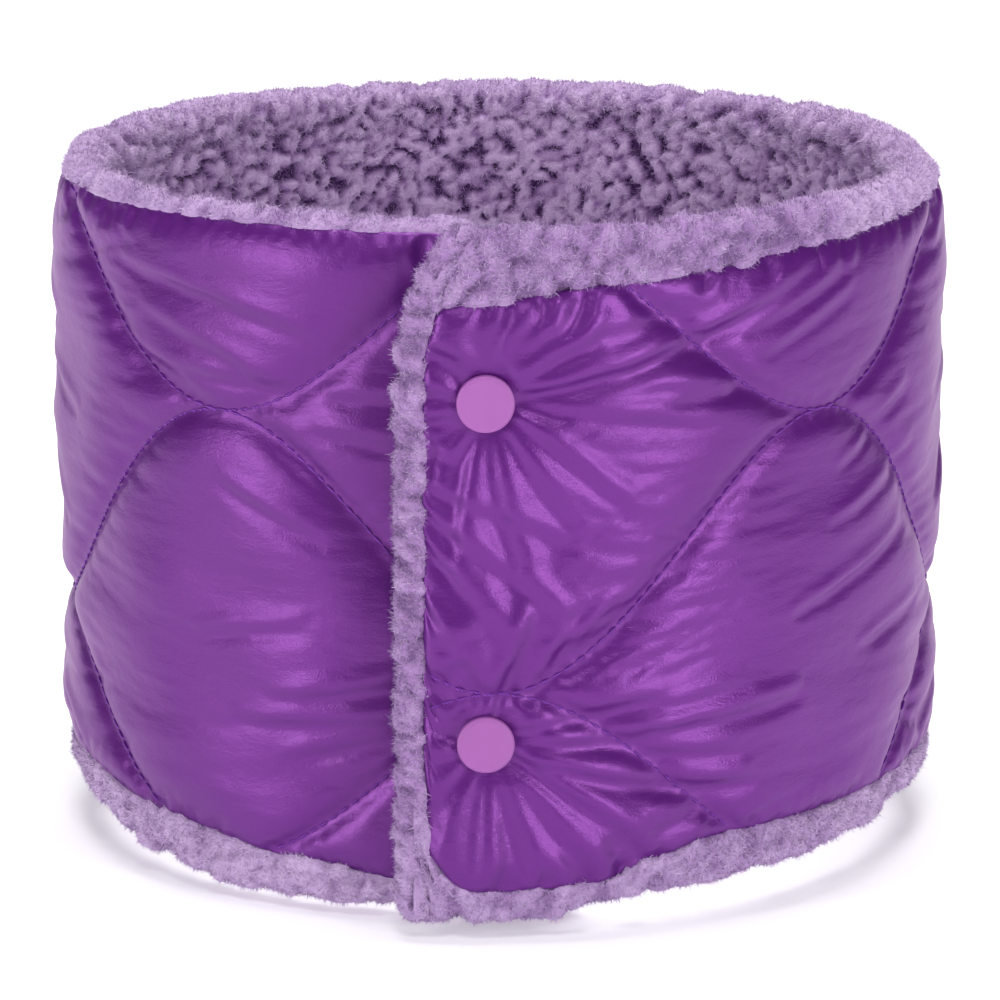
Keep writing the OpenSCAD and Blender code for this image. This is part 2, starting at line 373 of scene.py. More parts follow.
def pin_cloth(flat, p, near):
    """Which grid points are sewn down, and where to."""
    edge, side, snap = near[1:]
    n, m, _ = flat.shape
    pinned = np.zeros((n, m), bool)
    depth = np.zeros((n, m))
    low = flat[:, 0, 2]
    high = flat[:, -1, 2]
    for at, z in stitch_holes():
        i = np.clip(np.round((at - FLAP_SEW) / (p[1] - p[0])).astype(int), 0, n - 1)
        share = (z - low[i]) / (high[i] - low[i])
        inside = (share > 0.01) & (share < 0.99)
        i = i[inside]
        j = np.round(share[inside] * (m - 1)).astype(int)
        pinned[i, j] = True
        depth[i, j] = VALLEY
    sewn = (edge < 0.01) | (side < 0.01)
    pinned |= sewn
    depth[sewn] = SEWN_EDGE
    seat = snap < SNAP_SEAT_R
    pinned |= seat
    depth[seat] = SNAP_SEAT
    return pinned, depth


def spring_sets(flat, pinned, stretch_p, stretch_z):
    """Cloth springs in sets in which no point is used twice."""
    n, m, _ = flat.shape
    free = np.where(pinned, 0.0, 1.0).astype(np.float32)[..., None]
    kinds = (
        (1, 0, stretch_p, 1.0),
        (0, 1, stretch_z, 1.0),
        (1, 1, 0.5 * (stretch_p + stretch_z), 0.35),
        (1, -1, 0.5 * (stretch_p + stretch_z), 0.35),
        (2, 0, stretch_p, 0.5),
        (0, 2, stretch_z, 0.5),
        (4, 0, stretch_p, 0.12),
        (0, 4, stretch_z, 0.12),
    )
    sets = []
    for di, dj, extra, firm in kinds:
        step = di or dj
        size = n if di else m
        for first in range(2 * step):
            count = len(range(first, size - step, 2 * step))
            if not count:
                continue
            run = slice(first, first + 2 * step * (count - 1) + 1, 2 * step)
            far = slice(first + step, first + step + 2 * step * (count - 1) + 1, 2 * step)
            if not di:
                a = (slice(None), run)
                b = (slice(None), far)
            elif dj >= 0:
                a = (run, slice(0, m - dj))
                b = (far, slice(dj, m))
            else:
                a = (run, slice(-dj, m))
                b = (far, slice(0, m + dj))
            rest = np.linalg.norm(flat[b] - flat[a], axis=-1) * (1 + extra[a])
            share = firm / np.maximum(free[a] + free[b], 1e-6)
            sets.append((a, b, rest[..., None].astype(np.float32), free[a], free[b], share))
    return sets


def settle(points, sets, loft, keep_down, pinned, steps):
    """Lets the cloth settle between its springs, its pins and the wadding's push."""
    free = np.where(pinned, 0.0, 1.0).astype(np.float32)
    loft = loft.astype(np.float32)
    for _ in range(steps):
        points[..., 1] += free * 0.03 * (loft - points[..., 1])
        for a, b, rest, free_a, free_b, share in sets:
            gap = points[b] - points[a]
            length = np.sqrt((gap * gap).sum(-1, keepdims=True))
            gap *= share * (1 - rest / length)
            points[a] += free_a * gap
            points[b] -= free_b * gap
        h = points[..., 1]
        np.minimum(h, loft + LOFT_ABOVE, out=h)
        np.maximum(h, loft - LOFT_BELOW, out=h)
        h[keep_down] = np.minimum(h[keep_down], VALLEY + 0.45)
    return points


def sparse(x):
    """Few strong folds among many faint ones, with rounder tops than bottoms."""
    x = x * (0.35 + 0.45 * np.abs(x))
    return np.where(x > 0, x, 1.4 * x)


# Folds pulled in by the snaps: (degrees up from along the band, length, bend in degrees, depth)
UPPER_FOLDS = (
    (142, 13, 0, 1.7), (174, 10, 0, 0.9), (200, 11, 0, 1.1), (226, 16, -12, 1.0),
    (250, 32, 22, 1.4), (274, 36, 14, 1.3), (298, 30, 10, 1.1), (322, 34, -8, 1.0),
    (10, 76, 16, 1.7), (-10, 44, 2, 0.7), (30, 26, 0, 0.7),
)
LOWER_FOLDS = (
    (170, 12, 0, 1.7), (205, 13, 0, 1.8), (236, 30, 26, 1.6), (262, 26, 6, 1.8),
    (284, 26, 4, 1.7), (304, 30, 4, 1.2), (324, 44, -6, 1.9), (-24, 56, 26, 2.0),
    (-4, 40, 4, 1.2), (14, 34, -8, 0.8), (70, 14, 0, 1.3),
)
# Other folds in the panels: (plan angle, height, degrees, length, bend, depth); an angle below 0
# is on the underlap's arc
PANEL_FOLDS = (
    (16, 40.5, 2, 48, 4, 1.5), (19, 36.0, -6, 26, 0, 0.8), (21, 45.5, 6, 24, 0, 0.7),
    (5, 54.0, 70, 18, 0, 1.3), (9, 56.0, 60, 16, 0, 0.9), (15, 72.0, 215, 20, 0, 0.7),
    (19, 116.0, 0, 34, 0, 1.0), (21, 113.0, 2, 32, 0, 1.1), (33, 126.0, 16, 36, 10, 1.3),
    (36, 121.0, 20, 30, 6, 0.8), (48, 92.0, 22, 34, 8, 1.0), (46, 80.0, 14, 40, 8, 0.9),
    (40, 62.0, 12, 46, 10, 1.1), (52, 50.0, 10, 30, 0, 0.8), (60, 104.0, 200, 20, 0, 0.8),
    (-54, 136.0, -8, 56, -10, 1.6), (-50, 127.0, -18, 40, -6, 1.1), (-58, 121.0, -20, 34, 0, 0.9),
    (-48, 116.0, -8, 40, 6, 0.9), (-36, 92.0, -30, 30, 10, 0.9), (-20, 112.0, 0, 24, 0, 1.0),
    (-22, 105.0, -10, 26, 0, 0.8), (-28, 44.0, 6, 36, 6, 1.3), (-34, 38.0, 0, 40, 6, 1.1),
    (-40, 56.0, 8, 30, 0, 0.7), (-26, 30.0, 14, 26, 0, 1.0),
)
# Heights of the slanting folds down both sides of the band, where it bends most
SIDE_HEIGHTS = (30.0, 44.0, 57.0, 70.0, 84.0, 96.0, 108.0, 121.0, 133.0)
# Gathers up from the flap's lower edge: (plan angle, degrees, length, depth)
HEM_FOLDS = (
    (9, 112, 9, 0.9), (14, 118, 12, 1.4), (18, 108, 11, 1.5), (23, 100, 8, 0.9), (30, 96, 7, 0.6),
)
# Gathers hanging from the flap's upper edge: (plan angle, degrees, length, depth)
TOP_FOLDS = (
    (9, 252, 8, 0.6), (14, 242, 13, 1.1), (29, 238, 6, 0.3), (38, 236, 8, 0.4), (50, 240, 9, 0.6),
)
# Folds from the flap's sewn side: (height, degrees, length, depth)
SIDE_FOLDS = (
    (126, -27, 10, 1.5), (110, 2, 7, 1.0), (103, -4, 8, 1.0), (96, -24, 34, 1.0),
    (90, -40, 36, 1.1), (83, -52, 30, 0.9), (70, -60, 22, 0.7), (61, 20, 16, 0.7),
    (53, 32, 12, 0.8),
)
FOLD_START = 6.2
FOLD_IN_MOST = 2.2
FOLD_OUT_MOST = 1.8


def one_fold(flat, start, degrees, length, bend, depth, fade_in=0.0):
    """A furrow with a raised lip, from start outwards; fade_in is the share it sets in over."""
    t = np.linspace(0, 1, int(length / 1.5) + 2)
    turn = np.radians(degrees + bend * t)
    step = length / (len(t) - 1)
    px = start[0] + np.concatenate([[0], np.cumsum(np.cos(turn[:-1]) * step)])
    pz = start[1] + np.concatenate([[0], np.cumsum(np.sin(turn[:-1]) * step)])
    dx = flat[..., 0][..., None] - px
    dz = flat[..., 2][..., None] - pz
    gap = np.hypot(dx, dz)
    near = gap.argmin(-1)
    away = np.take_along_axis(gap, near[..., None], -1)[..., 0]
    across = np.take_along_axis(dz * np.cos(turn) - dx * np.sin(turn), near[..., None], -1)[..., 0]
    side = np.where(across > 0, away, -away)
    fade = (1 - t[near]) ** 0.6
    if fade_in:
        fade = fade * np.clip(t[near] / fade_in, 0, 1)
    wide = 0.95 + 0.7 * t[near]
    furrow = -np.exp(-((side / wide) ** 2))
    lip = 0.75 * np.exp(-(((side - 2.2 * wide) / (1.2 * wide)) ** 2))
    return depth * fade * (furrow + lip)


def snap_folds(flat):
    """All the listed folds: at the snaps, the flap's edges, the panels and the sides."""
    total = np.zeros(flat.shape[:2])
    for height, folds in zip(SNAP_HEIGHTS, (LOWER_FOLDS, UPPER_FOLDS)):
        for degrees, length, bend, depth in folds:
            turn = math.radians(degrees)
            p = flap_path(SNAP_ANGLE) + FOLD_START * math.cos(turn)
            z = height + FOLD_START * math.sin(turn)
            total += one_fold(flat, (p, z), degrees, length, bend, depth)
    for height, degrees, length, depth in SIDE_FOLDS:
        total += one_fold(flat, (FLAP_SEW + 1.0, height), degrees, length, 0, depth)
    for hem, folds in ((shell_top, TOP_FOLDS), (shell_low, HEM_FOLDS)):
        for angle, degrees, length, depth in folds:
            p = flap_path(angle)
            total += one_fold(flat, (p, at_one(hem, p)), degrees, length, 0, depth)
    for angle, height, degrees, length, bend, depth in PANEL_FOLDS:
        p = flap_path(angle) if angle > 0 else under_path(angle)
        total += one_fold(flat, (p, height), degrees, length, bend, depth, 0.3)
    for k, height in enumerate(SIDE_HEIGHTS):
        long = 28 + 12 * math.sin(2.4 * k)
        deep = 0.75 + 0.3 * math.cos(1.7 * k)
        shift = 15 * math.cos(2.9 * k)
        turn = 9 * math.sin(1.3 * k)
        left = (under_path(-94) + shift, height)
        right = (flap_path(95) - shift, height + 4)
        total += one_fold(flat, left, turn - 28, long, 4, deep, 0.35)
        total += one_fold(flat, right, 207 - turn, long, -4, deep, 0.35)
    return np.clip(total, -FOLD_IN_MOST, FOLD_OUT_MOST)


def shell_cloth():
    """The settled cloth as (path, outward, height) points."""
    rng = np.random.default_rng(3)
    p, flat = flat_grid()
    near = reach(flat, p)
    stitch, edge, side, snap = near
    shape = stitch.shape
    loft = loft_shape(near, flat)
    pinned, depth = pin_cloth(flat, p, near)
    cosine, sine = fold_field(flat, near, rng)
    long_noise = soft_noise(rng, shape, 2.4, 2.4)
    long_folds = streaks(long_noise, cosine, sine, 44)
    short_noise = soft_noise(rng, shape, 0.9, 0.9)
    short_folds = streaks(short_noise, cosine, sine, 12)
    patch = soft_noise(rng, shape, 20, 12)
    much = np.clip(0.75 + 0.45 * patch, 0.15, 1.8)
    close = np.exp(-stitch / 6) + 1.8 * np.exp(-edge / 8)
    close = close + 2.0 * np.exp(-np.maximum(snap - SNAP_SEAT_R, 0) / 18) + 0.5 * np.exp(-side / 8)
    furrows = snap_folds(flat)
    swell = 0.45 * soft_noise(rng, shape, 9, 6) * np.clip(edge / 10, 0, 1)
    loft = loft + 2.0 * furrows + swell
    lift = 0.95 * much * (0.1 + 0.9 * np.clip(close, 0, 1.8)) * sparse(long_folds)
    lift = lift + 0.4 * (0.05 + close) * sparse(short_folds)
    points = flat.copy()
    points[..., 1] = np.where(pinned, depth, loft + lift)
    extra = 0.06 * (0.10 * much + 0.9 * np.clip(close, 0, 1.6)) + 0.07 * np.abs(furrows)
    stretch_p = 0.006 + extra * sine**2
    stretch_z = 0.006 + extra * cosine**2
    sets = spring_sets(flat, pinned, stretch_p, stretch_z)
    steps = 50
    points = settle(points.astype(np.float32), sets, loft, stitch < 1.0, pinned, steps)
    return p, points.astype(float)


# ---- meshes


def grid_faces(n, m):
    """Quads of an n by m grid, seen from outside."""
    i, j = np.meshgrid(np.arange(n - 1), np.arange(m - 1), indexing="ij")
    a = (i * m + j).ravel()
    return np.stack([a, a + m, a + m + 1, a + 1], -1)


def add_object(name, data):
    """A new object in the scene."""
    o = bpy.data.objects.new(name, data)
    bpy.context.scene.collection.objects.link(o)
    return o


def make_mesh(name, points, quads, materials, kinds=None):
    """A smooth object from points in millimetres and quads; kinds gives each quad's material."""
    me = bpy.data.meshes.new(name)
    me.vertices.add(len(points))
    me.vertices.foreach_set("co", (points * MM).astype(np.float32).ravel())
    me.loops.add(quads.size)
    me.loops.foreach_set("vertex_index", quads.astype(np.int32).ravel())
    me.polygons.add(len(quads))
    me.polygons.foreach_set("loop_start", np.arange(0, quads.size, 4, dtype=np.int32))
    if kinds is not None:
        me.polygons.foreach_set("material_index", kinds.astype(np.int32))
    me.update(calc_edges=True)
    me.validate()
    me.polygons.foreach_set("use_smooth", np.ones(len(me.polygons), bool))
    for material in materials:
        me.materials.append(material)
    return add_object(name, me)


def tubes(paths, radii, sides, facing=None):
    """Points and quads of many thin tubes; paths is (tube, point, 3). Two sides make a ribbon."""
    count, length, _ = paths.shape
    along = np.gradient(paths, axis=1)
    along /= np.linalg.norm(along, axis=-1, keepdims=True) + 1e-9
    guide = np.array([0.31, 0.47, 0.83]) if facing is None else facing[:, None]
    first = np.cross(along, guide)
    first /= np.linalg.norm(first, axis=-1, keepdims=True) + 1e-9
    second = np.cross(along, first)
    turn = np.arange(sides) * 2 * math.pi / sides
    ring = first[:, :, None] * np.cos(turn)[:, None] + second[:, :, None] * np.sin(turn)[:, None]
    points = paths[:, :, None] + ring * radii[..., None, None]
    t, k = np.meshgrid(np.arange(count), np.arange(length - 1), indexing="ij")
    base = (t * length + k)[..., None] * sides
    side = np.arange(sides if sides > 2 else 1)
    a = base + side
    b = base + (side + 1) % sides
    quads = np.stack([a, b, b + sides, a + sides], -1).reshape(-1, 4)
    return points.reshape(-1, 3), quads


def blend_band(o, band):
    """Bakes the piece's placement into its mesh; the band's blend span is read but not used."""
    a, b, start, end = BLENDS[band]
    s = place(start, 0, HEIGHT / 2) * MM
    e = place(end, 0, HEIGHT / 2) * MM
    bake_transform(o)


def stand_for(kind, name):
    """The piece replaces its kind's stretch of the CAD, and on the underlap the back's too."""
    nodes = [f"{kind}_{name}"]
    if name == "underlap":
        nodes.append(f"{kind}_back")
    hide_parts(*nodes)


# ---- materials


def new_material(name):
    """A new node material, its node tree and its shader."""
    m = bpy.data.materials.new(name)
    m.use_nodes = True
    return m, m.node_tree, m.node_tree.nodes["Principled BSDF"]


def set_values(node, **values):
    """Sets a node's inputs, named with underscores for spaces."""
    for name, value in values.items():
        node.inputs[name.replace("_", " ")].default_value = value


def finish_look(tree, shader, colour, relief, **values):
    """Gives a shader its colour, its relief and its plain values."""
    tree.links.new(colour, shader.inputs["Base Color"])
    tree.links.new(relief, shader.inputs["Normal"])
    set_values(shader, **values)


def object_coords(tree):
    """A material's object coordinates."""
    return tree.nodes.new("ShaderNodeTexCoord").outputs["Object"]


def noise_node(tree, scale, detail=4.0, rough=0.5, vector=None):
    """A noise pattern."""
    n = tree.nodes.new("ShaderNodeTexNoise")
    set_values(n, Scale=scale, Detail=detail, Roughness=rough)
    tree.links.new(vector or object_coords(tree), n.inputs["Vector"])
    return n.outputs["Fac"]


def ramp(tree, source, stops):
    """A colour ramp: stops are (place, colour)."""
    r = tree.nodes.new("ShaderNodeValToRGB")
    tree.links.new(source, r.inputs["Fac"])
    points = r.color_ramp.elements
    while len(points) < len(stops):
        points.new(0.5)
    for point, (at, colour) in zip(points, stops):
        point.position = at
        point.color = (*colour, 1)
    return r.outputs["Color"]


def bump(tree, height, strength, distance, before=None):
    """Relief from a pattern, over an earlier one if it is given."""
    b = tree.nodes.new("ShaderNodeBump")
    set_values(b, Strength=strength, Distance=distance)
    tree.links.new(height, b.inputs["Height"])
    if before is not None:
        tree.links.new(before, b.inputs["Normal"])
    return b.outputs["Normal"]


def scaled(tree, factors):
    """Object coordinates stretched by factors."""
    m = tree.nodes.new("ShaderNodeMapping")
    set_values(m, Scale=factors)
    tree.links.new(object_coords(tree), m.inputs["Vector"])
    return m.outputs["Vector"]


def nylon_material():
    """Glossy nylon with fine creases and a violet gleam."""
    m, tree, b = new_material("nylon_shell")
    broad = noise_node(tree, 9.0, 3.0)
    colour = ramp(tree, broad, [(0.3, (0.084, 0.006, 0.155)), (0.7, (0.108, 0.010, 0.194))])
    dull = noise_node(tree, 40.0, 3.0)
    rough = tree.nodes.new("ShaderNodeMapRange")
    set_values(rough, To_Min=0.29, To_Max=0.42)
    tree.links.new(dull, rough.inputs["Value"])
    tree.links.new(rough.outputs["Result"], b.inputs["Roughness"])
    set_values(b, Metallic=0.28, Specular_IOR_Level=1.0, Specular_Tint=(0.98, 0.46, 1.0, 1))
    set_values(b, Sheen_Weight=0.02, Sheen_Roughness=0.4, Sheen_Tint=(0.75, 0.40, 0.95, 1))
    fine = noise_node(tree, 2600.0, 2.0)
    creases = noise_node(tree, 1.0, 5.0, 0.6, scaled(tree, (95.0, 95.0, 260.0)))
    first = bump(tree, creases, 0.32, 0.0009)
    finish_look(tree, b, colour, bump(tree, fine, 0.35, 0.0002, first))
    return m


def thread_material():
    """Thread with a slanting twist, with painted glints on each twist's ridge and painted shade
    between.
    """
    m, tree, b = new_material("thread")
    twist = tree.nodes.new("ShaderNodeTexWave")
    twist.bands_direction = "DIAGONAL"
    set_values(twist, Scale=900.0)
    tree.links.new(object_coords(tree), twist.inputs["Vector"])
    band = twist.outputs["Fac"]
    # painted highlight on the twist's ridges, painted shade between them
    colour = ramp(tree, band, [(0.0, (0.055, 0.004, 0.13)), (1.0, (0.24, 0.05, 0.42))])
    relief = bump(tree, band, 0.4, 0.0001)
    finish_look(tree, b, colour, relief, Roughness=0.45, Specular_IOR_Level=0.2)
    return m


def fleece_material(name, dark, light):
    """Soft wool fibres."""
    m, tree, b = new_material(name)
    colour = ramp(tree, noise_node(tree, 230.0, 3.0), [(0.3, dark), (0.7, light)])
    relief = bump(tree, noise_node(tree, 2200.0, 3.0, 0.7), 0.7, 0.0005)
    finish_look(tree, b, colour, relief, Roughness=0.85, Specular_IOR_Level=0.2)
    set_values(b, Sheen_Weight=0.4, Sheen_Roughness=0.6, Sheen_Tint=(0.9, 0.75, 1.0, 1))
    return m


def pile_base_material():
    """The wool under the fibres, with painted shade in its creases and painted light on its knots,
    read from the tone.
    """
    m, tree, b = new_material("fleece_ground")
    tone = tree.nodes.new("ShaderNodeAttribute")
    tone.attribute_name = "tone"
    # dark stop: painted shade in the creases; light stop: painted light on the knots' tops
    stops = [(0.1, (0.075, 0.025, 0.12)), (0.55, (0.35, 0.20, 0.45)), (1.0, (0.56, 0.40, 0.65))]
    relief = bump(tree, noise_node(tree, 1800.0, 3.0), 0.8, 0.0006)
    finish_look(tree, b, ramp(tree, tone.outputs["Fac"], stops), relief, Roughness=0.95)
    return m


def plastic_material(name, colour):
    """Matte moulded plastic."""
    m, tree, b = new_material(name)
    dark = tuple(c * 0.94 for c in colour)
    cloud = ramp(tree, noise_node(tree, 60.0, 3.0), [(0.35, dark), (0.65, colour)])
    grain = bump(tree, noise_node(tree, 3500.0, 2.0), 0.15, 0.00006)
    finish_look(tree, b, cloud, grain, Roughness=0.5)
    return m


def wadding_material(name, colour):
    """Felted white fibre."""
    m, tree, b = new_material(name)
    hairs = noise_node(tree, 700.0, 6.0, 0.7)
    dark = tuple(c * 0.8 for c in colour)
    tone = ramp(tree, hairs, [(0.3, dark), (0.7, colour)])
    finish_look(tree, b, tone, bump(tree, hairs, 0.6, 0.0008), Roughness=0.95)
    return m


NYLON = nylon_material()
THREAD = thread_material()
PILE_BASE = pile_base_material()
# Lit, half-shaded and shaded copies of one wool: painted light and shade, picked for each fibre
# from the pile's tone
FLEECE = (
    fleece_material("fleece_painted_lit", (0.56, 0.415, 0.655), (0.68, 0.525, 0.765)),
    fleece_material("fleece_painted_half_shade", (0.39, 0.25, 0.48), (0.51, 0.365, 0.60)),
    fleece_material("fleece_painted_shade", (0.20, 0.09, 0.28), (0.33, 0.19, 0.425)),
)
SNAP_PLASTIC = plastic_material("snap_plastic", (0.316, 0.087, 0.352))
WADDING = wadding_material("wadding_fill", (0.80, 0.79, 0.80))
BACKING = wadding_material("interfacing_cloth", (0.72, 0.70, 0.74))


# ---- shell pieces


# A hem's turned-in lines: (how far past the edge, how far inwards)
HEM_STEPS = ((0.25, 0.5), (0.1, 1.6), (-0.8, 2.6))


def hem_lines(line, dp, dz):
    """The lines of a hem that turns in past an edge, which lies towards (dp, dz)."""
    out = []
    for step, drop in HEM_STEPS:
        extra = line.copy()
        extra[..., 0] += dp * step
        extra[..., 1] -= drop
        extra[..., 2] += dz * step
        out.append(extra)
    return out


def tuck(points):
    """Adds the turned-in hems along the shell's four edges."""
    low = hem_lines(points[:, 0], 0, -1)
    high = hem_lines(points[:, -1], 0, 1)
    points = np.stack(low[::-1] + [points[:, j] for j in range(points.shape[1])] + high, 1)
    left = hem_lines(points[0], -1, 0)
    right = hem_lines(points[-1], 1, 0)
    return np.stack(left[::-1] + [points[i] for i in range(points.shape[0])] + right, 0)


def band_columns(columns, band):
    """First and last grid column of a band, one shared with its neighbour."""
    inside = np.nonzero((columns >= CUTS[band]) & (columns < CUTS[band + 1]))[0]
    last = min(inside[-1] + 1, len(columns) - 1)
    return inside[0], last


def add_shell(points):
    """The nylon shell, cut into its four bands."""
    full = tuck(points)
    columns = full[:, full.shape[1] // 2, 0]
    for band, name in enumerate(BAND_NAMES):
        first, last = band_columns(columns, band)
        part = full[first : last + 1]
        n, m, _ = part.shape
        world = place_spots(part).reshape(-1, 3)
        o = make_mesh(f"shell_quilt_{name}", world, grid_faces(n, m), [NYLON])
        smooth = o.modifiers.new("finer", "SUBSURF")
        smooth.levels = 1
        smooth.render_levels = 1
        blend_band(o, band)
        stand_for("shell", name)


def surface_height(p_list, points, p, z):
    """The cloth's outward place at path length p and height z."""
    i = (p - p_list[0]) / (p_list[1] - p_list[0])
    low = shell_low(p)
    high = shell_top(p)
    j = (z - low) / (high - low) * (points.shape[1] - 1)
    return at_cells(points[..., 1], i, j)


def add_stitches(p_list, points):
    """The thread that shows: one short raised dash between each pair of needle holes."""
    paths = []
    for at, z in stitch_holes():
        for k in range(len(at) - 1):
            t = np.linspace(0.07, 0.93, 6)
            p = at[k] + (at[k + 1] - at[k]) * t
            zz = z[k] + (z[k + 1] - z[k]) * t
            if zz.min() <= shell_low(p).max() + 0.5 or zz.max() >= shell_top(p).min() - 0.5:
                continue
            h = surface_height(p_list, points, p, zz) + THREAD_RISE * np.sin(np.pi * t) - 0.03
            paths.append(np.stack([p, h, zz], -1))
    paths = np.array(paths)
    for band, name in enumerate(BAND_NAMES):
        here = (paths[:, 0, 0] >= CUTS[band]) & (paths[:, 0, 0] < CUTS[band + 1])
        part = paths[here]
        world = place_spots(part)
        thick = THREAD_R * np.sin(np.linspace(0.25, np.pi - 0.25, 6)) ** 0.5
        radii = np.broadcast_to(thick, part.shape[:2])
        verts, quads = tubes(world, radii, 6)
        o = make_mesh(f"stitches_{name}", verts, quads, [THREAD])
        blend_band(o, band)
        stand_for("quilting", name)


WADDING_ROWS = 18
WADDING_OUT = 0.8
WADDING_IN = -2.6


def add_wadding():
    """The closed fill between shell and lining, out of sight."""
    for band, name in enumerate(BAND_NAMES):
        low_p = max(CUTS[band], FLAP_SEW + 2)
        high_p = min(CUTS[band + 1], UNDER_SEW - 2)
        p = np.linspace(low_p, high_p, int((high_p - low_p) / 6) + 2)
        z = between_edges(p, np.linspace(0.04, 0.96, WADDING_ROWS))
        pp = np.broadcast_to(p[:, None], z.shape)
        out = np.full_like(z, WADDING_OUT)
        ring_p = np.concatenate([pp, pp[:, ::-1]], 1)
        ring_z = np.concatenate([z, z[:, ::-1]], 1)
        ring_h = np.concatenate([out, np.full_like(out, WADDING_IN)], 1)
        world = place(ring_p, ring_h, ring_z)
        n, m, _ = world.shape
        index = np.arange(n * m).reshape(n, m)
        closed = np.concatenate([index, index[:, :1]], 1)
        quads = np.stack([closed[:-1, :-1], closed[1:, :-1], closed[1:, 1:], closed[:-1, 1:]], -1)
        caps = []
        for row in (0, n - 1):
            for k in range(WADDING_ROWS - 1):
                side = [index[row, j] for j in (k, k + 1, m - 2 - k, m - 1 - k)]
                caps.append(side if row == 0 else side[::-1])
        quads = np.concatenate([quads.reshape(-1, 4), np.array(caps)])
        o = make_mesh(f"wadding_fill_{name}", world.reshape(-1, 3), quads, [WADDING])
        blend_band(o, band)
        stand_for("wadding", name)


# ---- fleece lining

# The pile's inner and outer face, and how deep its fluff stands on the rims
PILE_IN = -4.0
PILE_OUT = 2.9
ROUND_R = (PILE_OUT - PILE_IN) / 2
ROUND_H = (PILE_OUT + PILE_IN) / 2
PILE_DEEP = 2.4
ROLL_FLAP = FLAP_FREE + ROUND_R + 0.8
ROLL_UNDER = UNDER_FREE - ROUND_R - 2.0


RIM_HIGH = (
    (FLAP_FREE, 153.6), (flap_path(20), 153.8), (flap_path(60), 154.2), (SIDE_RIGHT, 152.4),
    (SIDE_RIGHT + 60, 154.6), (SIDE_RIGHT + 150, 155.2), (SIDE_LEFT - 30, 155.2),
    (SIDE_LEFT + 20, 154.3), (under_path(-45), 153.4), (under_path(-3), 153.2),
    (under_path(6), 149.2), (UNDER_FREE, 149.0),
)


def rim_high(p):
    """Height of the upper rim over its fluff."""
    return ease(p, RIM_HIGH)


RIM_LOW = (
    (flap_path(8), -2.0), (flap_path(24), 2.6), (flap_path(41), 3.4), (flap_path(58), 5.2),
    (flap_path(68), 7.4), (SIDE_RIGHT, 7.6), (SIDE_RIGHT + 60, 4.0), (SIDE_RIGHT + 150, 0.0),
    (SIDE_LEFT - 70, 2.0), (SIDE_LEFT, 6.8), (under_path(-67), 4.6), (under_path(-50), -0.6),
    (under_path(-38), -3.0),
)


def rim_low(p):
    """Height of the lower rim under its fluff."""
    return ease(p, RIM_LOW)


def round_centres(p):
    """Heights of the centres of the upper and the lower rounding at path length p."""
    return at_one(rim_high, p) - PILE_DEEP - ROUND_R, at_one(rim_low, p) + PILE_DEEP + ROUND_R


def lining_profile(p):
    """The lining's section at path length p, from the upper outside round to the lower outside."""
    top = at_one(shell_top, p)
    low = at_one(shell_low, p)
    high_z, low_z = round_centres(p)
    turn = np.linspace(0, math.pi, 13)
    arc_h = ROUND_H + ROUND_R * np.cos(turn)
    arc_z = high_z + ROUND_R * np.sin(turn)
    out_z = np.linspace(min(top - 4, high_z - 2), high_z, 8)[:-1]
    out_h = np.where(out_z < top, PILE_OUT - 1.6, PILE_OUT)
    in_z = np.linspace(high_z, low_z, 60)[1:-1]
    in_h = np.full_like(in_z, PILE_IN)
    under_h = ROUND_H - ROUND_R * np.cos(turn)
    under_z = low_z - ROUND_R * np.sin(turn)
    end_z = np.linspace(low_z, max(low + 4, low_z + 2), 8)[1:]
    end_h = np.where(end_z > low, PILE_OUT - 1.6, PILE_OUT)
    h = np.concatenate([out_h, arc_h, in_h, under_h, end_h])
    z = np.concatenate([out_z, arc_z, in_z, under_z, end_z])
    return h, z


def roll_grid(centre, sign):
    """The lining's rounded free edge: an upright half tube with a quarter ball at each end."""
    high_z, low_z = round_centres(centre)
    around = np.linspace(-math.pi / 2, math.pi / 2, 11)
    steps = np.linspace(0, math.pi / 2, 7)
    below = low_z - ROUND_R * np.cos(steps[:-1])
    above = high_z + ROUND_R * np.sin(steps[1:])
    z = np.concatenate([below, np.linspace(low_z, high_z, 60), above])
    r = np.concatenate([np.sin(steps[:-1]), np.ones(60), np.cos(steps[1:])]) * ROUND_R
    p = centre + sign * r[:, None] * np.cos(around)
    h = ROUND_H + r[:, None] * np.sin(around)
    tab = np.array([1.5, 3.5, 6.0])
    p = np.concatenate([p, centre - sign * np.broadcast_to(tab, (len(z), 3))], 1)
    last = np.minimum(h[:, -1:], PILE_OUT - np.array([0.2, 1.4, 2.6]))
    h = np.concatenate([h, last], 1)
    return np.stack([p, h, np.broadcast_to(z[:, None], p.shape)], -1)


def unit(v):
    """Vectors at length one."""
    return v / (np.linalg.norm(v, axis=-1, keepdims=True) + 1e-9)


PILE_CELL = 1.2
PILE_ROWS = 168
KNOT_STEP = 3.1
BIG_KNOT = 1.35
# How much painted shade lowers the tone on the front faces of the flap and the underlap
FRONT_PAINTED_SHADE = 0.34
# Tones above which a fibre takes the painted lit wool, and the painted half-shaded wool
PAINTED_LIT_TONE = 0.92
PAINTED_HALF_SHADE_TONE = 0.5
RIM_HAIRS = 11.0
WALL_HAIRS = 5.0
LOW_WALL_HAIRS = 1.0
HAIR_RADII = (0.085, 0.075, 0.02)
HAIRS_PER_PIECE = 48000


def even_profile(p):
    """The lining's section at path length p in evenly spaced points."""
    h, z = lining_profile(p)
    run = np.concatenate([[0], np.cumsum(np.hypot(np.diff(h), np.diff(z)))])
    at = np.linspace(0, run[-1], PILE_ROWS)
    return np.stack([np.full(PILE_ROWS, p), np.interp(at, run, h), np.interp(at, run, z)], -1)


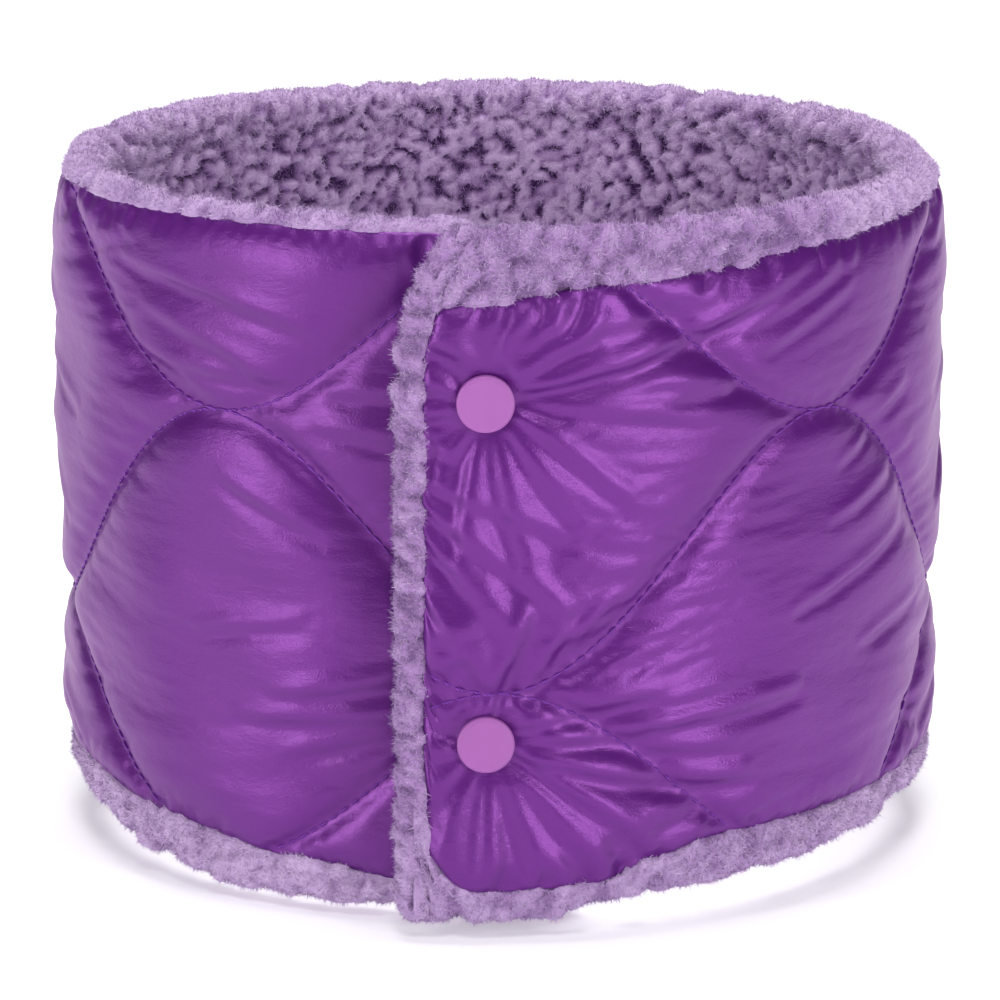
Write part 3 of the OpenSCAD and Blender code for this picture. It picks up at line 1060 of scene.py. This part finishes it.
def knots_of_wool(rng, world, out, rim):
    """Rounded knots of curled wool that overlap: their rise, 0 to 1.4, and the creases between."""
    n, m, _ = world.shape
    i, j = np.meshgrid(np.arange(1.0, n, KNOT_STEP), np.arange(1.0, m, KNOT_STEP), indexing="ij")
    i = np.clip(i.ravel() + rng.uniform(-0.5, 0.5, i.size) * KNOT_STEP, 0, n - 1)
    j = np.clip(j.ravel() + rng.uniform(-0.5, 0.5, j.size) * KNOT_STEP, 0, m - 1)
    big = at_cells(rim, i, j) > 0.5
    kept = ~big | (rng.uniform(size=len(i)) < 0.55)
    i, j, big = i[kept], j[kept], big[kept]
    k = len(i)
    centre = at_cells(world, i, j)[:, None]
    normal = unit(at_cells(out, i, j))
    along = unit(np.cross(normal, rng.normal(size=(k, 3))))
    across = np.cross(normal, along)
    grow = np.where(big, BIG_KNOT, 1.0)
    long = (rng.uniform(2.3, 4.4, k) * grow)[:, None]
    wide = (rng.uniform(1.3, 2.0, k) * grow)[:, None]
    tall = rng.uniform(0.7, 1.4, k)[:, None]
    span = np.arange(-5, 6)
    di, dj = np.meshgrid(span, span, indexing="ij")
    ii = np.round(i).astype(int)[:, None] + di.ravel()
    jj = np.round(j).astype(int)[:, None] + dj.ravel()
    inside = (ii >= 0) & (ii < n) & (jj >= 0) & (jj < m)
    cell = (np.clip(ii, 0, n - 1), np.clip(jj, 0, m - 1))
    gap = world[cell] - centre
    u = (gap * along[:, None]).sum(-1) / long
    v = (gap * across[:, None]).sum(-1) / wide
    dome = tall * np.sqrt(np.clip(1 - u * u - v * v, 0, 1))
    rise = np.zeros((n, m))
    np.maximum.at(rise, (ii[inside], jj[inside]), dome[inside])
    lower = inside & (dome < rise[cell] - 1e-6)
    second = np.zeros((n, m))
    np.maximum.at(second, (ii[lower], jj[lower]), dome[lower])
    crease = np.exp(-(rise - second) / 0.14) * (second > 0.15)
    return rise, crease


def under_shell(spots):
    """Where the lining is hidden under the shell's edges."""
    p, h, z = spots[..., 0], spots[..., 1], spots[..., 2]
    inside = (z > shell_low(p) + 0.2) & (z < shell_top(p) - 0.2)
    return (h > 0) & inside & (p > FLAP_SEW + 0.3) & (p < UNDER_SEW - 0.3)


def lapped(spots):
    """Where the flap and the underlap press their pile flat against each other."""
    p, h = spots[..., 0], spots[..., 1]
    return ((p < flap_path(20)) & (h < -2)) | ((p > under_path(-12)) & (h > 0))


def pile_patch(spots, rng, flip, rim_tone, big_rims):
    """The ground of the pile: its points, the ways out at each, its tone of painted light and
    shade, and how free it is.
    """
    world = place_spots(spots)
    out = unit(np.cross(np.gradient(world, axis=0), np.gradient(world, axis=1))) * flip
    wall = np.clip(PILE_IN + 1.0 - spots[..., 1], 0, 1)
    rise, crease = knots_of_wool(rng, world, out, (1 - wall) * big_rims)
    crease = crease * (0.3 + 0.7 * wall)
    deep = np.where(under_shell(spots), 0.0, np.where(lapped(spots), 0.35, 1.0))
    height = (1.5 + 0.9 * wall) * (rise - 0.3 * crease) * deep - 0.4 * wall
    raised = world + height[..., None] * out
    bumpy = unit(np.cross(np.gradient(raised, axis=0), np.gradient(raised, axis=1))) * flip
    # tone is painted light and shade: lighter on the knots' tops, on the rims and over the inner
    # wall, darker in the creases between knots
    tone = rise + rim_tone * (1 - wall) * (0.95 - rise) - 0.42 * crease + 0.1 * wall
    # painted shade: the tone is lowered on the pile's front faces over the flap and the underlap
    on_flap = (spots[..., 0] < flap_path(50)) * np.where(spots[..., 2] > 20, 1.0, 0.5)
    on_underlap = 0.5 * ((spots[..., 0] > under_path(-60)) & (spots[..., 2] > 20))
    front = (spots[..., 1] > PILE_IN + 1) * (on_flap + on_underlap)
    tone = tone - FRONT_PAINTED_SHADE * blur(blur(front, 2, 0), 2, 1)
    return dict(spots=spots, points=raised, out=out, bumpy=bumpy, tone=tone, deep=deep)


def hairs_per_cell(patch):
    """How many fibres stand on each cell: most on the rims, few low on the inner wall."""
    spots = patch["spots"]
    p, h, z = spots[..., 0], spots[..., 1], spots[..., 2]
    count = np.where(z > 85, WALL_HAIRS, LOW_WALL_HAIRS)
    rim = (z > rim_high(p) - 12) | (z < rim_low(p) + 8) | (h > PILE_IN + 0.5)
    count = np.where(rim, RIM_HAIRS, count)
    return np.where(under_shell(spots), 0.0, count)


def hair_lines(patch, rng):
    """Fine curled fibres over a patch: their lines, the way each faces, its kind of painted lit or
    shaded wool and its cell.
    """
    count = hairs_per_cell(patch)
    count = rng.poisson(count[:-1, :-1])
    rows = count.shape[1]
    cell = np.repeat(np.arange(count.size), count.ravel())
    i = cell // rows + rng.uniform(size=len(cell))
    j = cell % rows + rng.uniform(size=len(cell))
    root = at_cells(patch["points"], i, j)
    out = unit(0.5 * at_cells(patch["out"], i, j) + 0.5 * at_cells(patch["bumpy"], i, j))
    tone = at_cells(patch["tone"], i, j)
    size = (0.35 + 0.65 * at_cells(patch["deep"], i, j))[:, None]
    k = len(cell)
    lean = unit(0.8 * out + 0.62 * rng.normal(size=(k, 3)))
    curl = np.cross(lean, rng.normal(size=(k, 3)))
    long = rng.uniform(0.5, 1.4, (k, 1)) * size
    long = np.where(rng.uniform(size=(k, 1)) < 0.015, 1.8 * long, long)
    s = np.linspace(0, 1, 3)[None, :, None]
    lean = (long * lean)[:, None]
    curl = (0.9 * long * curl)[:, None]
    lines = root[:, None] - 0.2 * out[:, None] + lean * s + curl * s * (s - 0.55)
    # each fibre takes the painted lit, half-shaded or shaded wool from its tone
    shade = tone + 0.2 * rng.normal(size=k)
    kind = np.where(shade > PAINTED_LIT_TONE, 0, np.where(shade > PAINTED_HALF_SHADE_TONE, 1, 2))
    return lines, out, kind, i


def sweep_patch(rng):
    """The pile from one free edge to the other, and its columns' path lengths."""
    p = np.arange(ROLL_FLAP, ROLL_UNDER + 0.5 * PILE_CELL, PILE_CELL)
    p[-1] = ROLL_UNDER
    return p, pile_patch(np.array([even_profile(x) for x in p]), rng, 1, 0.75, True)


def even_steps(line):
    """Places along a line of grid points, a pile cell apart."""
    run = np.concatenate([[0], np.cumsum(np.linalg.norm(np.diff(line, axis=0), axis=1))])
    count = int(run[-1] / PILE_CELL) + 2
    return np.interp(np.linspace(0, run[-1], count), run, np.arange(len(line)))


def roll_patch(rng, centre, sign):
    """The pile round a free edge."""
    grid = roll_grid(centre, sign)
    i, j = np.meshgrid(even_steps(grid[:, 5]), even_steps(grid[len(grid) // 2]), indexing="ij")
    return pile_patch(at_cells(grid, i, j), rng, sign, 0.75, False)


def slice_patch(patch, first, last):
    """A run of columns of a patch."""
    return {key: value[first : last + 1] for key, value in patch.items()}


def add_ground(name, patches, band):
    """The knotted ground of the pile."""
    verts = []
    quads = []
    tones = []
    total = 0
    for patch, flip in patches:
        n, m = patch["tone"].shape
        faces = grid_faces(n, m)
        quads.append((faces[:, ::-1] if flip < 0 else faces) + total)
        verts.append(patch["points"].reshape(-1, 3))
        tones.append(patch["tone"].ravel())
        total += n * m
    verts = np.concatenate(verts)
    o = make_mesh(f"fleece_ground_{name}", verts, np.concatenate(quads), [PILE_BASE])
    # the tone attribute carries the painted light and shade into the ground's colour
    tone = o.data.attributes.new("tone", "FLOAT", "POINT")
    tone.data.foreach_set("value", np.concatenate(tones).astype(np.float32))
    blend_band(o, band)
    stand_for("lining", name)


def add_hairs(name, lines, facing, kind, band):
    """Flat tapering fibres, each in the lit, half-shaded or shaded copy of the wool: painted light
    and shade.
    """
    thin = np.broadcast_to(np.array(HAIR_RADII), lines.shape[:2])
    verts, quads = tubes(lines, thin, 2, facing)
    o = make_mesh(name, verts, quads, FLEECE, np.repeat(kind, 2))
    blend_band(o, band)


def add_lining():
    """The fleece: a knotted ground under fine fibres, round both rims and both free edges."""
    rng = np.random.default_rng(5)
    p, sweep = sweep_patch(rng)
    rolls = {0: (roll_patch(rng, ROLL_FLAP, -1), -1), 3: (roll_patch(rng, ROLL_UNDER, 1), 1)}
    for band, name in enumerate(BAND_NAMES):
        first, last = band_columns(p, band)
        part = slice_patch(sweep, first, last)
        patches = [(part, 1)]
        if band in rolls:
            patches.append(rolls[band])
        add_ground(name, patches, band)
        sets = [hair_lines(patch, rng) for patch, _ in patches]
        lines = np.concatenate([s[0] for s in sets])
        facing = np.concatenate([s[1] for s in sets])
        kind = np.concatenate([s[2] for s in sets])
        pieces = 1 + len(lines) // HAIRS_PER_PIECE
        order = np.argsort(lines[:, 0, 2], kind="stable")
        for k, part in enumerate(np.array_split(order, pieces)):
            add_hairs(f"fleece_pile_{name}_{k + 1}", lines[part], facing[part], kind[part], band)


# ---- snaps and patches


PATCH_SIDE = 17.0
PATCH_HALF_THICK = 0.2
PATCH_GRID = 12


def add_patches():
    """The stiff squares of cloth behind each snap half."""
    count = PATCH_GRID**2
    side = np.linspace(-PATCH_SIDE / 2, PATCH_SIDE / 2, PATCH_GRID)
    face = grid_faces(PATCH_GRID, PATCH_GRID)
    index = np.arange(count).reshape(PATCH_GRID, PATCH_GRID)
    ring = np.concatenate([index[:, 0], index[-1, 1:], index[-2::-1, -1], index[0, -2:0:-1]])
    after = np.roll(ring, -1)
    wall = np.stack([after, ring, ring + count, after + count], -1)
    quads = np.concatenate([face, face[:, ::-1] + count, wall])
    for body, path in (("flap", flap_path(SNAP_ANGLE)), ("underlap", under_path(SNAP_ANGLE))):
        for label, z in zip(("lower", "upper"), SNAP_HEIGHTS):
            pp, zz = np.meshgrid(path + side, z + side, indexing="ij")
            outer = place(pp, PATCH_HALF_THICK, zz).reshape(-1, 3)
            inner = place(pp, -PATCH_HALF_THICK, zz).reshape(-1, 3)
            verts = np.concatenate([outer, inner])
            o = make_mesh(f"interfacing_{body}_{label}", verts, quads, [BACKING])
            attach(o, body)
            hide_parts(f"patches_{body}")


def dress_snaps():
    """The snaps keep their CAD shape and get a matte plastic."""
    for name, node in frame["nodes"].items():
        if name.startswith("snap_"):
            node.data.materials.clear()
            node.data.materials.append(SNAP_PLASTIC)
            for polygon in node.data.polygons:
                polygon.material_index = 0


# ---- the studio


FLOOR_SIZE = 4000.0
FLOOR_DROP = 5.0
MIDDLE = (0, 0, 0.08)


def add_floor():
    """A pale floor that glows more further out, so that the background stays white."""
    z = CAD_LOW.z / MM - FLOOR_DROP
    corners = [(-1, -1), (1, -1), (1, 1), (-1, 1)]
    verts = np.array([[x * FLOOR_SIZE, y * FLOOR_SIZE, z] for x, y in corners])
    m, tree, b = new_material("pale_floor")
    stops = [(0.3, (0.90, 0.90, 0.91)), (0.7, (0.93, 0.93, 0.94))]
    tree.links.new(ramp(tree, noise_node(tree, 3.0), stops), b.inputs["Base Color"])
    set_values(b, Roughness=0.7, Emission_Color=(1.0, 1.0, 1.0, 1))
    far = tree.nodes.new("ShaderNodeVectorMath")
    far.operation = "LENGTH"
    tree.links.new(object_coords(tree), far.inputs[0])
    glow = tree.nodes.new("ShaderNodeMapRange")
    glow.interpolation_type = "SMOOTHSTEP"
    set_values(glow, From_Min=0.3, From_Max=1.6, To_Min=0.32, To_Max=0.95)
    tree.links.new(far.outputs["Value"], glow.inputs["Value"])
    tree.links.new(glow.outputs["Result"], b.inputs["Emission Strength"])
    floor = make_mesh("floor", verts, np.array([[0, 1, 2, 3]]), [m])


def add_light(name, spot, size, power):
    """An area light at spot, in metres, aimed at the middle of the band."""
    data = bpy.data.lights.new(name, "AREA")
    data.shape = "RECTANGLE"
    data.size = size[0]
    data.size_y = size[1]
    data.energy = power
    o = add_object(name, data)
    o.location = Vector(spot)
    o.rotation_euler = (Vector(MIDDLE) - Vector(spot)).to_track_quat("-Z", "Y").to_euler()


def add_studio():
    """Soft white studio light."""
    world = bpy.data.worlds.new("studio")
    bpy.context.scene.world = world
    world.use_nodes = True
    set_values(world.node_tree.nodes["Background"], Color=(1.0, 1.0, 1.0, 1), Strength=0.13)
    add_light("key", (-1.25, -0.9, 0.38), (0.16, 0.9), 10.0)
    add_light("fill", (1.0, -1.15, 0.38), (0.16, 0.9), 10.0)
    add_light("front", (0.0, -1.2, 1.5), (0.4, 0.3), 8.0)
    add_light("top", (0.0, 0.1, 1.5), (0.8, 0.8), 17.0)
    add_light("rear", (0.1, 1.0, 1.4), (1.4, 0.6), 4.0)
    bpy.context.scene.view_settings.view_transform = "Standard"


def add_camera():
    """The camera: long lens, straight ahead of the band and a little above."""
    data = bpy.data.cameras.new("camera")
    data.sensor_width = 36.0
    data.lens = 181.0
    data.clip_end = 20.0
    o = add_object("camera", data)
    aim = Vector((0.0, MIDDLE_Y * MM, 0.069))
    tilt = math.radians(13.2)
    away = 1.18
    o.location = aim + Vector((0, -math.cos(tilt), math.sin(tilt))) * away
    o.rotation_euler = (aim - o.location).to_track_quat("-Z", "Y").to_euler()
    bpy.context.scene.camera = o


# ---- build

PATHS, CLOTH = shell_cloth()
add_shell(CLOTH)
add_stitches(PATHS, CLOTH)
add_wadding()
add_lining()
add_patches()
dress_snaps()
add_floor()
add_studio()
add_camera()
